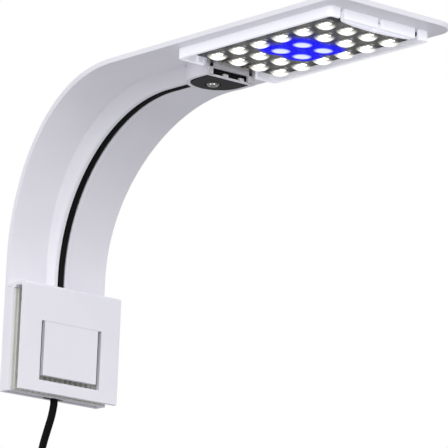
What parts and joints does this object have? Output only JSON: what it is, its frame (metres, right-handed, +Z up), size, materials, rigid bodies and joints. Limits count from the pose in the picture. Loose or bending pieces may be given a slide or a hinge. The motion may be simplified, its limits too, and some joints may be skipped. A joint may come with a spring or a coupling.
{
  "type": "aquarium lamp",
  "caption": "Clip-on aquarium light: a broad arm rises from a jaw that hooks over the tank rim and bends over the water to carry a lamp panel under its flat head.",
  "frame": {"origin": "middle of the slot ceiling that rests on the rim of the tank glass", "axes": "+X from the glass towards the tip of the head, +Y across the width, +Z up"},
  "size_m": [0.2719, 0.07, 0.3737],
  "materials": {
    "white_shell": "satin moulded ABS",
    "grip_grey": "matte ribbed soft grip",
    "steel": "bright plated",
    "black_shell": "fine grained",
    "board_black": "solder mask",
    "chip_black": "matte",
    "lamp_white": "gloss",
    "glow_white": "lit",
    "glow_blue": "lit",
    "rubber_black": "matte",
    "clear": "clear polycarbonate",
    "lead_brown": "insulated core",
    "lead_blue": "insulated core",
    "brass": "bright",
    "cord_black": "smooth jacket",
    "rocker_red": "gloss"
  },
  "bodies": {
    "light": {"arm_shell": "white_shell", "clamp_saddle": "white_shell", "grip_pad": "grip_grey", "saddle_screw_1": "steel", "saddle_screw_2": "steel", "saddle_screw_3": "steel", "saddle_screw_4": "steel", "module_base": "black_shell", "led_board": "board_black", "board_pads": "steel", "board_resistors": "chip_black", "led_bodies": "lamp_white", "white_emitters": "glow_white", "blue_emitters": "glow_blue", "cover_gasket": "rubber_black", "clear_cover": "clear", "connector_block": "black_shell", "cord_gland": "rubber_black", "lead_live": "lead_brown", "lead_neutral": "lead_blue", "contact_pins": "brass", "head_screw": "steel", "head_washer": "steel", "cord_clip": "rubber_black", "cord_inner": "cord_black", "cord_lead": "cord_black", "cord_bridge": "cord_black", "cord_hank": "cord_black", "cord_tail": "cord_black", "hank_tie": "rubber_black", "switch_base": "black_shell", "switch_cover": "black_shell", "switch_pin": "steel", "plug_sleeve": "rubber_black", "plug_body": "cord_black", "plug_pin_1": "steel", "plug_pin_2": "steel"},
    "tongue": {"press_tongue": "white_shell"},
    "rocker": {"switch_rocker": "rocker_red"}
  },
  "joints": [
    {"name": "tongue_bend", "type": "hinge", "parent": "light", "child": "tongue", "pos_m": [0.0036, 0, -0.0165], "axis": [0, -1, 0], "range_deg": [-4, 6], "stiffness_Nm_per_rad": 0.08},
    {"name": "rocker_tilt", "type": "hinge", "parent": "light", "child": "rocker", "pos_m": [-0.0116, 0, -0.104], "axis": [0, 1, 0], "range_deg": [0, 16]}
  ]
}
